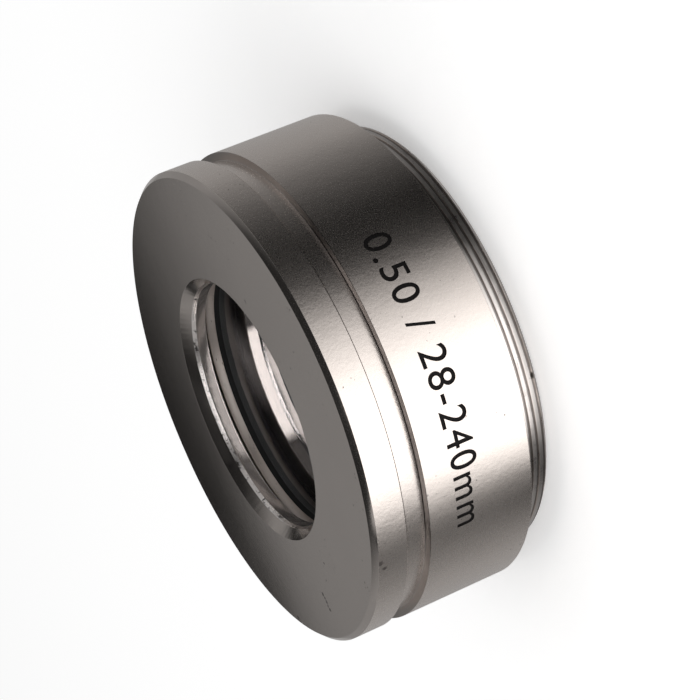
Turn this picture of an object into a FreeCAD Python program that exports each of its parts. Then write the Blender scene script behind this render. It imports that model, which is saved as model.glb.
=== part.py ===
import FreeCAD, Part
import os
import re
import Sketcher

# Auxiliary lens for a stereo microscope, in millimetres.
# It stands on its thread: origin at the centre of the thread's end face, +Z towards the front.

doc = FreeCAD.newDocument("auxiliary_lens")
sizes = doc.addObject("Spreadsheet::Sheet", "Sizes")

DRIVING_SIZES = {
    # outside
    "overall_height": 22.3,
    "shoulder_width": 2.5,
    "edge_break": 0.12,
    # mounting thread, drawn as its major cylinder
    "thread_radius": 24.0,
    "thread_reach": 3.6,
    "thread_lead_in": 0.4,
    "relief_depth": 0.6,
    "relief_floor": 0.4,
    # neck between the grip and the front cap
    "neck_depth": 0.95,
    "neck_height": 2.55,
    # front cap
    "cap_height": 4.0,
    "cap_chamfer": 0.55,
    "lip_overhang": 1.2,
    "lip_thickness": 2.65,
    "mouth_chamfer": 0.9,
    # screw nose of the barrel, inside the cap
    "nose_wall": 3.0,
    "nose_gap": 0.2,
    # cemented doublet
    "glass_radius": 16.5,
    "glass_bevel": 0.3,
    "glass_flat_width": 1.1,
    "front_curve": 600.0,
    "cement_curve": 80.0,
    "rear_curve": 172.0,
    "crown_centre": 2.6,
    "flint_centre": 4.0,
    # threaded ring in front of the glass
    "recess_depth": 3.45,
    "ring_cover": 1.5,
    "ring_step": 0.5,
    "retaining_height": 1.5,
    "ring_bevel_width": 0.45,
    "ring_bevel_height": 0.85,
    "ring_slot_width": 1.6,
    "ring_slot_depth": 0.7,
    "ring_chamfer": 0.15,
    "thread_runout": 0.4,
    # stepped bore behind the glass
    "seat_width": 1.3,
    "stop_length": 1.2,
    "thread_wall": 3.2,
    "well_depth": 5.2,
    "well_chamfer": 0.5,
    # fits
    "joint_clearance": 0.05,
    "glass_clearance": 0.05,
}

WELL_STEPS = 4
RING_SLOTS = 2

for row, (alias, size) in enumerate(DRIVING_SIZES.items(), start=1):
    sizes.set(f"A{row}", alias)
    sizes.set(f"B{row}", str(size))
    sizes.setAlias(f"B{row}", alias)
doc.recompute()


def tied(formula):
    """The formula with each size name led back to its cell."""
    return re.sub("[a-z_]+", lambda word: f"{'Sizes.' * (word[0] in DRIVING_SIZES)}{word[0]}", formula)


def value_of(formula):
    return float(sizes.evalExpression(tied(formula)))


def sagitta(curve, radius):
    """Height of a spherical cap of this curve, out to this radius."""
    return f"({curve} - sqrt({curve} * {curve} - {radius} * {radius}))"


# Radii that follow from the sizes
BARREL_RADIUS = "(thread_radius + shoulder_width)"
NECK_RADIUS = f"({BARREL_RADIUS} - neck_depth)"
WELL_RADIUS = "(thread_radius - thread_wall)"
GLASS_FLAT = "(glass_radius - glass_flat_width)"
STOP_RADIUS = "(glass_radius - seat_width)"
RING_BORE = "(glass_radius - ring_cover)"
RING_JOINT = "(glass_radius + ring_step)"
CAP_JOINT = f"({RING_JOINT} + nose_wall)"
MOUTH_RADIUS = f"({RING_BORE} - lip_overhang)"

# Heights that follow from the sizes: the glass and its ring are stacked down from the front
CAP_SEAT = "(overall_height - cap_height)"
STEP_FACE = f"({CAP_SEAT} - neck_height)"
NOSE_TOP = "(overall_height - lip_thickness - nose_gap)"
FRONT_SAG = sagitta("front_curve", GLASS_FLAT)
REAR_SAG = sagitta("rear_curve", GLASS_FLAT)
CEMENT_SAG = sagitta("cement_curve", "glass_radius")
RETAINING_SEAT = "(overall_height - recess_depth - retaining_height)"
CROWN_APEX = f"({CEMENT_SAG} + crown_centre)"
CROWN_SEAT = f"({RETAINING_SEAT} - {FRONT_SAG} - {CROWN_APEX})"
FLINT_APEX = f"({REAR_SAG} + flint_centre)"
FLINT_SEAT = f"({CROWN_SEAT} + {CEMENT_SAG} - {FLINT_APEX})"
POCKET_TOP = f"({RETAINING_SEAT} - thread_runout)"


def new_body(label, height="0"):
    """A body whose own origin is lifted to the given height."""
    body = doc.addObject("PartDesign::Body", label)
    body.Label = label
    if height != "0":
        body.setExpression("Placement.Base.z", tied(height))
    return body


def origin_plane(body, role):
    return next(plane for plane in body.Origin.OriginFeatures if plane.Role == role)


def new_sketch(body, name, role):
    sketch = body.newObject("Sketcher::SketchObject", name)
    sketch.AttachmentSupport = [(origin_plane(body, role), "")]
    sketch.MapMode = "FlatFace"
    return sketch


def constrain(sketch, kind, *places, formula=None):
    """One constraint; with a formula, its size follows the cells the formula names."""
    if formula is None:
        sketch.addConstraint(Sketcher.Constraint(kind, *places))
        return
    index = sketch.addConstraint(Sketcher.Constraint(kind, *places, value_of(formula)))
    sketch.setExpression(f"Constraints[{index}]", tied(formula))


def tie_corner(sketch, edge, radius, height):
    """Radius and height of an edge's start; with no height, a curve ends there instead."""
    if radius == "0":
        constrain(sketch, "PointOnObject", edge, 1, -2)
    else:
        constrain(sketch, "DistanceX", -1, 1, edge, 1, formula=radius)
    if height == "0":
        constrain(sketch, "PointOnObject", edge, 1, -1)
    elif height is not None:
        constrain(sketch, "DistanceY", -1, 1, edge, 1, formula=height)


def outline(body, name, corners):
    """Closed profile of straight edges in the XZ plane, one corner per (radius, height) pair."""
    sketch = new_sketch(body, name, "XZ_Plane")
    places = [FreeCAD.Vector(value_of(radius), value_of(height), 0) for radius, height in corners]
    last = len(corners)
    for edge in range(last):
        sketch.addGeometry(Part.LineSegment(places[edge], places[(edge + 1) % last]), False)
    for edge in range(last):
        constrain(sketch, "Coincident", edge, 2, (edge + 1) % last, 1)
    for edge, (radius, height) in enumerate(corners):
        tie_corner(sketch, edge, radius, height)
    return sketch


def turn(body, kind, name, sketch):
    """A profile revolved about the lens axis, as added or as removed material."""
    feature = body.newObject(f"PartDesign::{kind}", name)
    feature.Profile = sketch
    feature.ReferenceAxis = (sketch, ["V_Axis"])
    feature.Angle = 360
    sketch.Visibility = False
    return feature


def check_cut(body, before, name):
    doc.recompute()
    if not 0 < body.Shape.Volume < before - 0.01:
        raise RuntimeError(f"{name} removed nothing")


# Barrel: turned from bar, bored from both ends
def make_barrel():
    body = new_body("barrel")
    blank = outline(body, "barrel_outline", [
        ("0", "0"),
        ("thread_radius - thread_lead_in", "0"),
        ("thread_radius", "thread_lead_in"),
        ("thread_radius", "thread_reach"),
        (f"{BARREL_RADIUS} - edge_break", "thread_reach"),
        (BARREL_RADIUS, "thread_reach + edge_break"),
        (BARREL_RADIUS, f"{STEP_FACE} - edge_break"),
        (f"{BARREL_RADIUS} - edge_break", STEP_FACE),
        (NECK_RADIUS, STEP_FACE),
        (NECK_RADIUS, CAP_SEAT),
        (CAP_JOINT, CAP_SEAT),
        (CAP_JOINT, f"{NOSE_TOP} - ring_chamfer"),
        (f"{CAP_JOINT} - ring_chamfer", NOSE_TOP),
        ("0", NOSE_TOP),
    ])
    turn(body, "Revolution", "barrel_blank", blank)
    doc.recompute()

    blank_volume = body.Shape.Volume
    relief = outline(body, "relief_outline", [
        ("thread_radius - relief_depth", "thread_reach - relief_floor"),
        ("thread_radius - relief_depth", "thread_reach"),
        ("thread_radius", "thread_reach"),
        ("thread_radius", "thread_reach - relief_floor - relief_depth"),
    ])
    turn(body, "Groove", "thread_relief", relief)
    check_cut(body, blank_volume, "thread_relief")

    relieved_volume = body.Shape.Volume
    bore = outline(body, "bore_outline", stepped_bore())
    turn(body, "Groove", "stepped_bore", bore)
    check_cut(body, relieved_volume, "stepped_bore")
    return body


def stepped_bore():
    """Corners of the bore, from the rear mouth up the steps to the glass pocket and the nose."""
    corners = [
        ("0", "0"),
        (f"{WELL_RADIUS} + well_chamfer", "0"),
        (WELL_RADIUS, "well_chamfer"),
        (WELL_RADIUS, "well_depth"),
    ]
    top = f"({FLINT_SEAT} - stop_length)"
    for step in range(1, WELL_STEPS):
        tread = f"{WELL_RADIUS} - ({WELL_RADIUS} - {STOP_RADIUS}) * {step} / {WELL_STEPS}"
        below = f"well_depth + ({top} - well_depth) * {step - 1} / {WELL_STEPS - 1}"
        above = f"well_depth + ({top} - well_depth) * {step} / {WELL_STEPS - 1}"
        corners += [(tread, below), (tread, above)]
    corners += [
        (STOP_RADIUS, top),
        (STOP_RADIUS, FLINT_SEAT),
        ("glass_radius + glass_clearance", FLINT_SEAT),
        ("glass_radius + glass_clearance", POCKET_TOP),
        (f"{RING_JOINT} + joint_clearance", POCKET_TOP),
        (f"{RING_JOINT} + joint_clearance", f"{NOSE_TOP} - ring_chamfer"),
        (f"{RING_JOINT} + joint_clearance + ring_chamfer", NOSE_TOP),
        ("0", NOSE_TOP),
    ]
    return corners


# Front cap: a flat ring with a chamfered mouth, recessed behind its lip for the barrel's nose
def make_front_cap():
    body = new_body("front_cap", CAP_SEAT)
    ring = outline(body, "cap_outline", [
        (f"{CAP_JOINT} + joint_clearance", "0"),
        (f"{BARREL_RADIUS} - edge_break", "0"),
        (BARREL_RADIUS, "edge_break"),
        (BARREL_RADIUS, "cap_height - cap_chamfer"),
        (f"{BARREL_RADIUS} - cap_chamfer", "cap_height"),
        (f"{MOUTH_RADIUS} + mouth_chamfer", "cap_height"),
        (MOUTH_RADIUS, "cap_height - mouth_chamfer"),
        (MOUTH_RADIUS, "cap_height - lip_thickness"),
        (f"{CAP_JOINT} + joint_clearance", "cap_height - lip_thickness"),
    ])
    turn(body, "Revolution", "cap_ring", ring)
    return body


# Retaining ring: bevelled round its bore, with spanner slots across the front face
def make_retaining_ring():
    body = new_body("retaining_ring", RETAINING_SEAT)
    section = outline(body, "ring_outline", [
        (RING_BORE, "0"),
        (f"{RING_JOINT} - ring_chamfer", "0"),
        (RING_JOINT, "ring_chamfer"),
        (RING_JOINT, "retaining_height - ring_chamfer"),
        (f"{RING_JOINT} - ring_chamfer", "retaining_height"),
        (f"{RING_BORE} + ring_bevel_width", "retaining_height"),
        (RING_BORE, "retaining_height - ring_bevel_height"),
    ])
    turn(body, "Revolution", "ring_blank", section)
    doc.recompute()

    blank_volume = body.Shape.Volume
    slot = new_sketch(body, "ring_slot_outline", "XY_Plane")
    slot.setExpression("AttachmentOffset.Base.z", tied("retaining_height"))
    low = FreeCAD.Vector(value_of(f"{RING_BORE} - ring_slot_width"), -value_of("ring_slot_width") / 2, 0)
    high = FreeCAD.Vector(value_of(f"{RING_JOINT} + ring_slot_width"), value_of("ring_slot_width") / 2, 0)
    corners = [low, FreeCAD.Vector(high.x, low.y, 0), high, FreeCAD.Vector(low.x, high.y, 0)]
    for edge in range(4):
        slot.addGeometry(Part.LineSegment(corners[edge], corners[(edge + 1) % 4]), False)
    for edge in range(4):
        constrain(slot, "Coincident", edge, 2, (edge + 1) % 4, 1)
    constrain(slot, "Horizontal", 0)
    constrain(slot, "Horizontal", 2)
    constrain(slot, "Vertical", 3)
    constrain(slot, "Symmetric", 1, 1, 1, 2, -1)
    constrain(slot, "DistanceY", 1, 1, 1, 2, formula="ring_slot_width")
    constrain(slot, "DistanceX", -1, 1, 0, 1, formula=f"{RING_BORE} - ring_slot_width")
    constrain(slot, "DistanceX", -1, 1, 0, 2, formula=f"{RING_JOINT} + ring_slot_width")
    pocket = body.newObject("PartDesign::Pocket", "ring_slot")
    pocket.Profile = slot
    pocket.setExpression("Length", tied("ring_slot_depth"))
    slot.Visibility = False
    doc.recompute()

    slots = body.newObject("PartDesign::PolarPattern", "ring_slots")
    slots.Originals = [pocket]
    slots.Axis = (slot, ["N_Axis"])
    slots.Angle = 360
    slots.Occurrences = RING_SLOTS
    body.Tip = slots
    check_cut(body, blank_volume, "ring_slots")
    return body


def arc_about_axis(low, apex_height, curve, centre_above):
    """Arc from the axis out to a point, on a sphere whose centre lies on the axis."""
    side = 1 if centre_above else -1
    centre = FreeCAD.Vector(0, apex_height + side * curve, 0)
    circle = Part.Circle(centre, FreeCAD.Vector(0, 0, 1), curve)
    start = circle.parameter(FreeCAD.Vector(0, apex_height, 0))
    end = circle.parameter(low)
    return Part.ArcOfCircle(circle, min(start, end), max(start, end))


# Glass: each element is a profile of two arcs, an edge and, where it is seated, a flat and a bevel
def make_flint_element():
    body = new_body("flint_element", FLINT_SEAT)
    sketch = new_sketch(body, "flint_outline", "XZ_Plane")
    edge_top = f"({FLINT_APEX} - {CEMENT_SAG})"
    rear_apex = FreeCAD.Vector(0, value_of(REAR_SAG), 0)
    apex = FreeCAD.Vector(0, value_of(FLINT_APEX), 0)
    rim = FreeCAD.Vector(value_of("glass_radius"), value_of(edge_top), 0)
    bevel_top = FreeCAD.Vector(value_of("glass_radius"), value_of("glass_bevel"), 0)
    bevel_low = FreeCAD.Vector(value_of("glass_radius - glass_bevel"), 0, 0)
    flat_end = FreeCAD.Vector(value_of(GLASS_FLAT), 0, 0)
    sketch.addGeometry(Part.LineSegment(rear_apex, apex), False)
    sketch.addGeometry(arc_about_axis(rim, apex.y, value_of("cement_curve"), False), False)
    sketch.addGeometry(Part.LineSegment(rim, bevel_top), False)
    sketch.addGeometry(Part.LineSegment(bevel_top, bevel_low), False)
    sketch.addGeometry(Part.LineSegment(bevel_low, flat_end), False)
    sketch.addGeometry(arc_about_axis(flat_end, rear_apex.y, value_of("rear_curve"), False), False)
    axis_line, cement_arc, edge_line, bevel_line, flat_line, rear_arc = range(6)
    constrain(sketch, "Coincident", axis_line, 2, cement_arc, 2)
    constrain(sketch, "Coincident", cement_arc, 1, edge_line, 1)
    constrain(sketch, "Coincident", edge_line, 2, bevel_line, 1)
    constrain(sketch, "Coincident", bevel_line, 2, flat_line, 1)
    constrain(sketch, "Coincident", flat_line, 2, rear_arc, 1)
    constrain(sketch, "Coincident", rear_arc, 2, axis_line, 1)
    constrain(sketch, "PointOnObject", cement_arc, 3, -2)
    constrain(sketch, "PointOnObject", rear_arc, 3, -2)
    constrain(sketch, "Radius", cement_arc, formula="cement_curve")
    constrain(sketch, "Radius", rear_arc, formula="rear_curve")
    constrain(sketch, "PointOnObject", axis_line, 1, -2)
    constrain(sketch, "PointOnObject", axis_line, 2, -2)
    constrain(sketch, "DistanceY", axis_line, 1, axis_line, 2, formula="flint_centre")
    tie_corner(sketch, edge_line, "glass_radius", None)
    tie_corner(sketch, bevel_line, "glass_radius", "glass_bevel")
    tie_corner(sketch, flat_line, "glass_radius - glass_bevel", "0")
    constrain(sketch, "DistanceX", -1, 1, flat_line, 2, formula=GLASS_FLAT)
    constrain(sketch, "PointOnObject", flat_line, 2, -1)
    turn(body, "Revolution", "flint_solid", sketch)
    return body


def make_crown_element():
    body = new_body("crown_element", CROWN_SEAT)
    sketch = new_sketch(body, "crown_outline", "XZ_Plane")
    flat_height = f"({CROWN_APEX} + {FRONT_SAG})"
    cement_apex = FreeCAD.Vector(0, value_of(CEMENT_SAG), 0)
    apex = FreeCAD.Vector(0, value_of(CROWN_APEX), 0)
    rim = FreeCAD.Vector(value_of("glass_radius"), 0, 0)
    bevel_low = FreeCAD.Vector(value_of("glass_radius"), value_of(f"{flat_height} - glass_bevel"), 0)
    bevel_top = FreeCAD.Vector(value_of("glass_radius - glass_bevel"), value_of(flat_height), 0)
    flat_end = FreeCAD.Vector(value_of(GLASS_FLAT), value_of(flat_height), 0)
    sketch.addGeometry(Part.LineSegment(cement_apex, apex), False)
    sketch.addGeometry(arc_about_axis(flat_end, apex.y, value_of("front_curve"), True), False)
    sketch.addGeometry(Part.LineSegment(flat_end, bevel_top), False)
    sketch.addGeometry(Part.LineSegment(bevel_top, bevel_low), False)
    sketch.addGeometry(Part.LineSegment(bevel_low, rim), False)
    sketch.addGeometry(arc_about_axis(rim, cement_apex.y, value_of("cement_curve"), False), False)
    axis_line, front_arc, flat_line, bevel_line, edge_line, cement_arc = range(6)
    constrain(sketch, "Coincident", axis_line, 2, front_arc, 1)
    constrain(sketch, "Coincident", front_arc, 2, flat_line, 1)
    constrain(sketch, "Coincident", flat_line, 2, bevel_line, 1)
    constrain(sketch, "Coincident", bevel_line, 2, edge_line, 1)
    constrain(sketch, "Coincident", edge_line, 2, cement_arc, 1)
    constrain(sketch, "Coincident", cement_arc, 2, axis_line, 1)
    constrain(sketch, "PointOnObject", front_arc, 3, -2)
    constrain(sketch, "PointOnObject", cement_arc, 3, -2)
    constrain(sketch, "Radius", front_arc, formula="front_curve")
    constrain(sketch, "Radius", cement_arc, formula="cement_curve")
    constrain(sketch, "PointOnObject", axis_line, 1, -2)
    constrain(sketch, "PointOnObject", axis_line, 2, -2)
    constrain(sketch, "DistanceY", axis_line, 1, axis_line, 2, formula="crown_centre")
    constrain(sketch, "Horizontal", flat_line)
    constrain(sketch, "DistanceX", -1, 1, flat_line, 1, formula=GLASS_FLAT)
    constrain(sketch, "DistanceX", -1, 1, bevel_line, 1, formula="glass_radius - glass_bevel")
    constrain(sketch, "Vertical", edge_line)
    constrain(sketch, "DistanceY", bevel_line, 2, bevel_line, 1, formula="glass_bevel")
    constrain(sketch, "DistanceX", -1, 1, edge_line, 2, formula="glass_radius")
    constrain(sketch, "PointOnObject", edge_line, 2, -1)
    turn(body, "Revolution", "crown_solid", sketch)
    return body


bodies = [
    make_barrel(),
    make_front_cap(),
    make_flint_element(),
    make_crown_element(),
    make_retaining_ring(),
]
doc.recompute()

for item in doc.Objects:
    if "Invalid" in item.State or "Error" in item.State:
        raise RuntimeError(f"{item.Label} failed: {item.State}")
for body in bodies:
    if body.Shape.isNull() or not body.Shape.isValid() or len(body.Shape.Solids) != 1:
        raise RuntimeError(f"{body.Label} is not one valid solid")

os.makedirs("parts", exist_ok=True)
for body in bodies:
    body.Shape.exportStep(f"parts/{body.Label}.step")
    box = body.Shape.BoundBox
    print(f"{body.Label}: z {box.ZMin:.3f} to {box.ZMax:.3f}, radius {box.XMax:.3f}, "
          f"volume {body.Shape.Volume:.1f}")
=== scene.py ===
import math

import bmesh
import bpy
import numpy as np
from mathutils import Matrix, Vector, geometry


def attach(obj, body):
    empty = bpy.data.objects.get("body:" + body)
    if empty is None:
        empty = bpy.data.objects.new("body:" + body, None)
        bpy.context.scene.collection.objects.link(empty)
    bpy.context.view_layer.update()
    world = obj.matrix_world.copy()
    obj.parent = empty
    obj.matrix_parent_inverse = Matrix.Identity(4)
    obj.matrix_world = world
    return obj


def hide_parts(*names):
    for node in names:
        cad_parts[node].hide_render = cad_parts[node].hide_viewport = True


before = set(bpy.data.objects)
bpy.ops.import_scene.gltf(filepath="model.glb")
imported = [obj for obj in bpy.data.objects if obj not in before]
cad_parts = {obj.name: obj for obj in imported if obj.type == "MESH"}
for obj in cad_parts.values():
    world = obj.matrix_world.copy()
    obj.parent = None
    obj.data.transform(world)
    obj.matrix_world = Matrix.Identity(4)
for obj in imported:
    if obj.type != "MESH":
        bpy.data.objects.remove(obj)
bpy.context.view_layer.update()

MM = 0.001
SEGMENTS = 480

# Sizes of the part's source, in millimetres
HEIGHT = 22.3
BARREL = 26.5
NECK = 25.55
NECK_FOOT = 15.75
CAP_SEAT = 18.3
NOSE = 20.0
NOSE_TOP = 19.45
THREAD = 24.0
THREAD_PITCH = 0.75
THREAD_REACH = 3.6
RELIEF = 23.4
RELIEF_FOOT = 3.2
LEAD_IN = 0.4
WELL = 20.8
WELL_DEPTH = 5.2
STOP = 15.2
SEAT = 9.862
GLASS = 16.5
GLASS_POCKET = 16.55
RING_BORE = 15.0
RING_BEVEL = (0.45, 0.85)
RING_JOINT = 17.0
RING_THREAD = 17.05
POCKET_TOP = 16.95
RING_FOOT = 17.35
RING_TOP = 18.85
MOUTH = 13.8
LIP_FOOT = 19.65

# Further sizes of the turned surfaces, in millimetres
THREAD_DEPTH = 0.16
THREAD_CREST = 0.42
WELL_STEPS = 3
STOP_LAND = 1.2
NOSE_GAP = 0.05
CAP_CHAMFER = 0.55
MOUTH_CHAMFER = 1.0
LIP_SLOPE = 0.16
LIP_BAND = 20.86
SLOT_AT = 16.0
SLOT_SIZE = (3.2, 1.6, 1.4)
GLASS_RIM = 1.1
GLASS_CHAMFER = 0.3
FRONT_CURVE = 600.0
REAR_CURVE = 172.0

# Materials of each dressed piece, as the indices of its faces
SATIN, INKED, LACQUERED, THREADED, GROOVE_SHADE = range(5)
FACED, CUT, BURRED, BORED = range(1, 5)
TURNED, BLACKED = range(2)
COATED, PAINTED, BLOOMED = range(3)


def wave(angle, seed, terms, first=3, spread=60):
    """A smooth closed ripple round the axis, about one unit high."""
    draw = np.random.default_rng(seed)
    total = np.zeros_like(angle)
    for _ in range(terms):
        count = draw.integers(first, first + spread)
        total = total + draw.uniform(0.4, 1.0) * np.sin(count * angle + draw.uniform(0, 2 * math.pi))
    return total / math.sqrt(terms)


# Turned surfaces

def soften(corners, radius, steps=3):
    """The closed profile with its corners rounded; a corner gives radius, height, rounding and material."""
    points = []
    count = len(corners)
    for i in range(count):
        before, here, after = (np.array(corners[(i + k) % count][:2], float) for k in (-1, 0, 1))
        own = corners[i][2] if len(corners[i]) > 2 else radius
        tag = corners[i][3] if len(corners[i]) > 3 else 0
        back, ahead = before - here, after - here
        reach_back, reach_ahead = np.linalg.norm(back), np.linalg.norm(ahead)
        back, ahead = back / reach_back, ahead / reach_ahead
        half = math.acos(max(-1.0, min(1.0, float(back @ ahead)))) / 2
        if own <= 0 or half > math.radians(88):
            points.append((*here, tag))
            continue
        cut = min(own / math.tan(half), 0.45 * reach_back, 0.45 * reach_ahead)
        start, end = here + back * cut, here + ahead * cut
        for k in range(steps + 1):
            share = k / steps
            bend = (1 - share) ** 2 * start + 2 * share * (1 - share) * here + share ** 2 * end
            points.append((*bend, tag))
    return points


def ring_vertices(mesh, radius, height, angles):
    radii = np.broadcast_to(np.asarray(radius, float), angles.shape)
    heights = np.broadcast_to(np.asarray(height, float), angles.shape)
    return [
        mesh.verts.new((r * math.cos(angle) * MM, r * math.sin(angle) * MM, z * MM))
        for r, z, angle in zip(radii, heights, angles)
    ]


def bridge(mesh, lower, upper, tag):
    count = len(lower)
    for k in range(count):
        face = mesh.faces.new((lower[k], lower[(k + 1) % count], upper[(k + 1) % count], upper[k]))
        face.material_index = tag
        face.smooth = True


def closed_lathe(mesh, profile, angles, ripple=None):
    """Rings for each point of a closed profile, bridged in order; ripple moves a ring's radii."""
    rings = []
    for radius, height, _tag in profile:
        offset = ripple(radius, height, angles) if ripple else 0
        rings.append(ring_vertices(mesh, radius + offset, height, angles))
    for index, ring in enumerate(rings):
        bridge(mesh, ring, rings[(index + 1) % len(rings)], profile[index][2])
    return rings


def finish_mesh(mesh, name, sharp_degrees=32):
    bmesh.ops.remove_doubles(mesh, verts=mesh.verts, dist=1e-8)
    bmesh.ops.dissolve_degenerate(mesh, edges=mesh.edges, dist=1e-8)
    bmesh.ops.recalc_face_normals(mesh, faces=mesh.faces)
    for edge in mesh.edges:
        if len(edge.link_faces) == 2:
            edge.smooth = edge.calc_face_angle(0) < math.radians(sharp_degrees)
    data = bpy.data.meshes.new(name)
    mesh.to_mesh(data)
    mesh.free()
    item = bpy.data.objects.new(name, data)
    bpy.context.scene.collection.objects.link(item)
    return item


def weigh_normals(item):
    """Normals that follow the large faces, so that a rounded edge doesn't bend the shine beside it."""
    weight = item.modifiers.new("weight", "WEIGHTED_NORMAL")
    weight.mode = "FACE_AREA"
    weight.weight = 100
    weight.keep_sharp = True
    shaped = bpy.data.meshes.new_from_object(item.evaluated_get(bpy.context.evaluated_depsgraph_get()))
    item.modifiers.clear()
    item.data = shaped
    return item


# Shader helpers

def new_material(name):
    material = bpy.data.materials.new(name)
    material.use_nodes = True
    tree = material.node_tree
    for node in list(tree.nodes):
        tree.nodes.remove(node)
    output = tree.nodes.new("ShaderNodeOutputMaterial")
    return material, tree, output


def add(tree, kind, inputs=(), **settings):
    node = tree.nodes.new(kind)
    for key, value in settings.items():
        setattr(node, key, value)
    for key, value in dict(inputs).items():
        if isinstance(value, bpy.types.NodeSocket):
            tree.links.new(value, node.inputs[key])
        else:
            node.inputs[key].default_value = value
    return node


def ramp(tree, factor, stops, interpolation="LINEAR"):
    node = tree.nodes.new("ShaderNodeValToRGB")
    node.color_ramp.interpolation = interpolation
    elements = node.color_ramp.elements
    while len(elements) < len(stops):
        elements.new(0.5)
    for element, (place, value) in zip(elements, stops):
        element.position = place
        element.color = (*value, 1) if isinstance(value, tuple) else (value, value, value, 1)
    tree.links.new(factor, node.inputs["Fac"])
    return node.outputs["Color"]


def rising(tree, factor, low, high):
    """Share that is 0 up to the low value and 1 from the high one."""
    return ramp(tree, factor, [(0.0, 0.0), (low, 0.0), (high, 1.0), (1.0, 1.0)])


def noise(tree, place, scale, detail=2.0, roughness=0.5):
    node = add(tree, "ShaderNodeTexNoise", {
        "Vector": place, "Scale": scale, "Detail": detail, "Roughness": roughness})
    return node.outputs["Fac"]


def maths(tree, operation, first, second):
    return add(tree, "ShaderNodeMath", {0: first, 1: second}, operation=operation).outputs[0]


def turned_place(tree):
    """Object coordinates squeezed round the axis, so that noise becomes turning marks."""
    place = add(tree, "ShaderNodeTexCoord").outputs["Object"]
    split = add(tree, "ShaderNodeSeparateXYZ", {0: place})
    x, y, z = (split.outputs[k] for k in range(3))
    across = maths(tree, "MULTIPLY", x, x)
    along = maths(tree, "MULTIPLY", y, y)
    radius = maths(tree, "SQRT", maths(tree, "ADD", across, along), 0.0)
    angle = maths(tree, "ARCTAN2", y, x)
    joined = add(tree, "ShaderNodeCombineXYZ", {
        0: maths(tree, "MULTIPLY", angle, 0.0012), 1: radius, 2: z})
    return place, joined.outputs[0], radius


def mixed(tree, factor, first, second):
    node = add(tree, "ShaderNodeMix", {0: factor}, data_type="RGBA")
    for socket, value in ((6, first), (7, second)):
        if isinstance(value, bpy.types.NodeSocket):
            tree.links.new(value, node.inputs[socket])
        else:
            node.inputs[socket].default_value = (*value, 1)
    return node.outputs[2]


def shaded(colour, factor):
    return tuple(min(1.0, c * factor) for c in colour)


def spots(tree, place, marks):
    """Share of a few small stains with ragged rims; each gives its centre and its radius in millimetres."""
    ragged = maths(tree, "MULTIPLY", noise(tree, place, 3800.0, 2.0, 0.6), 1.4)
    total = None
    for *centre, radius in marks:
        gap = add(tree, "ShaderNodeVectorMath", {0: place, 1: Vector(centre) * MM}, operation="DISTANCE")
        reach = maths(tree, "ADD", maths(tree, "DIVIDE", gap.outputs["Value"], radius * MM), ragged)
        share = add(tree, "ShaderNodeMapRange", {
            "Value": reach, "From Min": 1.2, "From Max": 1.8, "To Min": 1.0, "To Max": 0.0}).outputs["Result"]
        total = maths(tree, "MAXIMUM", total, share) if total else share
    return total


def metal_surface(tree, output, colour, rough, relief, metallic=1.0):
    bump = add(tree, "ShaderNodeBump", {"Height": relief, "Distance": 0.0001, "Strength": 1.0})
    shader = add(tree, "ShaderNodeBsdfPrincipled", {
        "Base Color": colour, "Metallic": metallic, "Roughness": rough, "Normal": bump.outputs["Normal"]})
    tree.links.new(shader.outputs[0], output.inputs["Surface"])


FACE_STAINS = [
    (-21.0, -0.1, HEIGHT, 0.24), (-21.45, -0.25, HEIGHT, 0.20), (-21.9, -0.3, HEIGHT, 0.24),
    (-22.35, -0.2, HEIGHT, 0.18), (-22.8, -0.3, HEIGHT, 0.24), (-23.1, 10.8, HEIGHT, 0.3)]
FLANK_STAINS = [(-19.2, -18.25, 21.6, 0.4), (-19.8, -17.6, 21.1, 0.3)]
THREAD_STAINS = [(-7.85, -22.68, 0.4, 0.4)]


def satin_metal(name, colour, roughness, grain, marks, sway, stains):
    """Satin chrome over turned metal: blasted grain, turning marks, a cloudy shine, stains and specks."""
    material, tree, output = new_material(name)
    place, turned, _radius = turned_place(tree)
    blast = noise(tree, place, 3300.0, 2.0, 0.6)
    fine = noise(tree, place, 9000.0, 1.0, 0.5)
    lines = noise(tree, turned, 9000.0, 2.0, 0.6)
    cloud = noise(tree, place, 90.0, 4.0, 0.6)
    area = rising(tree, noise(tree, place, 290.0, 1.0, 0.5), 0.61, 0.69)
    speck = rising(tree, noise(tree, place, 3300.0, 0.0, 0.5), 0.765, 0.80)
    dirt = maths(tree, "MULTIPLY", speck, area)
    tone = mixed(tree, cloud, shaded(colour, 0.94), shaded(colour, 1.05))
    dirt = maths(tree, "MAXIMUM", dirt, spots(tree, place, stains))
    stained = mixed(tree, maths(tree, "MULTIPLY", dirt, 0.8), tone, (0.10, 0.085, 0.08))
    rough = maths(tree, "ADD", maths(tree, "MULTIPLY", fine, 0.10), roughness - 0.05)
    rough = maths(tree, "ADD", rough, maths(tree, "MULTIPLY", cloud, 0.04))
    rough = maths(tree, "ADD", rough, maths(tree, "MULTIPLY", dirt, 0.1))
    relief = maths(tree, "ADD", maths(tree, "MULTIPLY", blast, grain),
                   maths(tree, "MULTIPLY", fine, grain * 0.25))
    relief = maths(tree, "ADD", relief, maths(tree, "MULTIPLY", lines, marks))
    relief = maths(tree, "ADD", relief, maths(tree, "MULTIPLY", noise(tree, place, 620.0, 2.0, 0.6), sway))
    metal_surface(tree, output, stained, rough, relief)
    return material


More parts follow.
